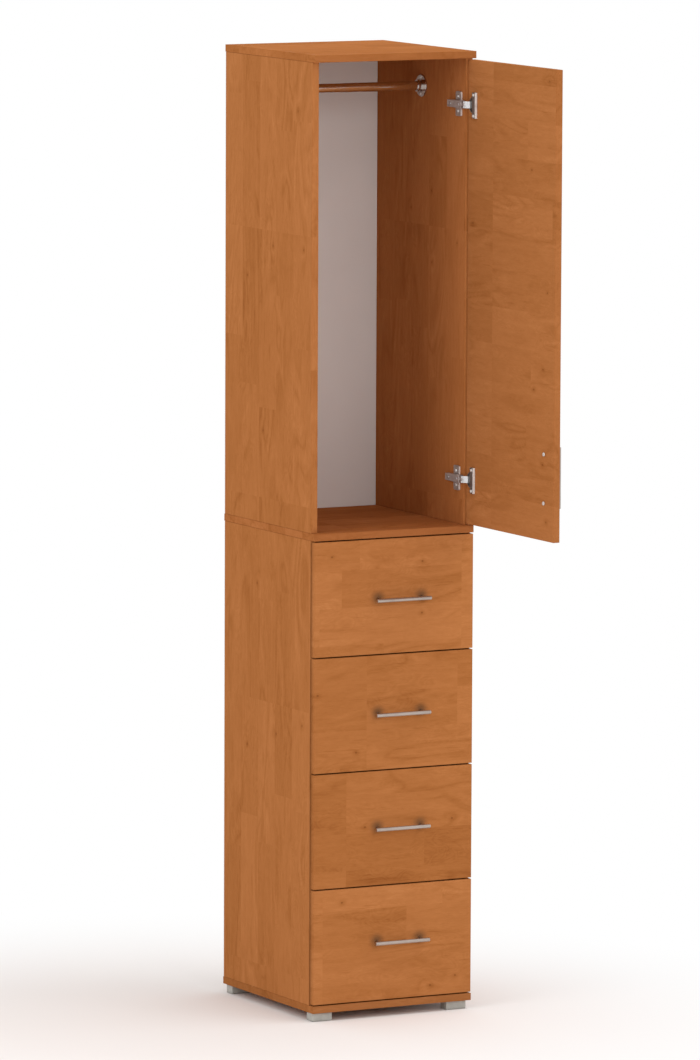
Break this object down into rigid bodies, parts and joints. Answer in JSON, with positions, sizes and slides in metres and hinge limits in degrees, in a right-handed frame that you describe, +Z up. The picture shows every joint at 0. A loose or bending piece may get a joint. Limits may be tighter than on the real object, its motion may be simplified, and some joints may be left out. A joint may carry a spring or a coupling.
{
  "type": "wardrobe",
  "caption": "Tall narrow wardrobe column: a hanging space with a rod behind one hinged door, above a stack of full-width drawers, on short block feet.",
  "frame": {"origin": "on the floor, under the middle of the carcass's footprint", "axes": "+Z up, +X to the right as one faces the front, +Y to the back, so the door and the drawers open towards -Y"},
  "size_m": [0.4275, 0.8281, 2.15],
  "materials": {
    "alder_board": "satin melamine in alder, staves upright",
    "alder_front": "satin melamine in alder, staves level",
    "white_hardboard": "white painted hardboard",
    "foot_plastic": "silver grey, satin",
    "chrome": "polished",
    "hinge_steel": "nickel plated, satin",
    "screw_steel": "zinc plated",
    "satin_nickel": "satin nickel",
    "runner_plastic": "white"
  },
  "bodies": {
    "carcass": {"top_panel": "alder_board", "middle_panel": "alder_board", "bottom_panel": "alder_board", "upper_side_left": "alder_board", "upper_side_right": "alder_board", "lower_side_left": "alder_board", "lower_side_right": "alder_board", "upper_back": "white_hardboard", "lower_back": "white_hardboard", "foot_front_left": "foot_plastic", "foot_front_right": "foot_plastic", "foot_back_left": "foot_plastic", "foot_back_right": "foot_plastic", "hanging_rod": "chrome", "rod_socket_left": "chrome", "rod_socket_right": "chrome", "hinge_plate_upper": "hinge_steel", "hinge_plate_lower": "hinge_steel", "hinge_arm_upper": "hinge_steel", "hinge_arm_lower": "hinge_steel", "runner_1_left": "runner_plastic", "runner_1_right": "runner_plastic", "runner_2_left": "runner_plastic", "runner_2_right": "runner_plastic", "runner_3_left": "runner_plastic", "runner_3_right": "runner_plastic", "runner_4_left": "runner_plastic", "runner_4_right": "runner_plastic"},
    "hinge_links": {"hinge_link_upper": "hinge_steel", "hinge_link_lower": "hinge_steel"},
    "door": {"door_panel": "alder_front", "door_handle": "satin_nickel", "door_handle_screw_lower": "screw_steel", "door_handle_screw_upper": "screw_steel", "hinge_cup_upper": "hinge_steel", "hinge_cup_lower": "hinge_steel"},
    "drawer_1": {"drawer_1_front": "alder_front", "drawer_1_handle": "satin_nickel", "drawer_1_side_left": "alder_board", "drawer_1_side_right": "alder_board", "drawer_1_back": "alder_board", "drawer_1_bottom": "white_hardboard"},
    "drawer_2": {"drawer_2_front": "alder_front", "drawer_2_handle": "satin_nickel", "drawer_2_side_left": "alder_board", "drawer_2_side_right": "alder_board", "drawer_2_back": "alder_board", "drawer_2_bottom": "white_hardboard"},
    "drawer_3": {"drawer_3_front": "alder_front", "drawer_3_handle": "satin_nickel", "drawer_3_side_left": "alder_board", "drawer_3_side_right": "alder_board", "drawer_3_back": "alder_board", "drawer_3_bottom": "white_hardboard"},
    "drawer_4": {"drawer_4_front": "alder_front", "drawer_4_handle": "satin_nickel", "drawer_4_side_left": "alder_board", "drawer_4_side_right": "alder_board", "drawer_4_back": "alder_board", "drawer_4_bottom": "white_hardboard"}
  },
  "joints": [
    {"name": "hinge_link_swing", "type": "hinge", "parent": "carcass", "child": "hinge_links", "pos_m": [0.1749, -0.2101, 1.6135], "axis": [0, 0, 1], "range_deg": [-7.5, 45]},
    {"name": "door_swing", "type": "hinge", "parent": "hinge_links", "child": "door", "pos_m": [0.18848, -0.21859, 1.6135], "axis": [0, 0, 1], "range_deg": [-135, 22.5]},
    {"name": "drawer_1_slide", "type": "slide", "parent": "carcass", "child": "drawer_1", "axis": [0, -1, 0], "range_m": [0, 0.3]},
    {"name": "drawer_2_slide", "type": "slide", "parent": "carcass", "child": "drawer_2", "axis": [0, -1, 0], "range_m": [0, 0.3]},
    {"name": "drawer_3_slide", "type": "slide", "parent": "carcass", "child": "drawer_3", "axis": [0, -1, 0], "range_m": [0, 0.3]},
    {"name": "drawer_4_slide", "type": "slide", "parent": "carcass", "child": "drawer_4", "axis": [0, -1, 0], "range_m": [0, 0.3]}
  ],
  "couplings": [
    {"joint": "hinge_link_swing", "follows": "door_swing", "ratio": -0.33333}
  ]
}
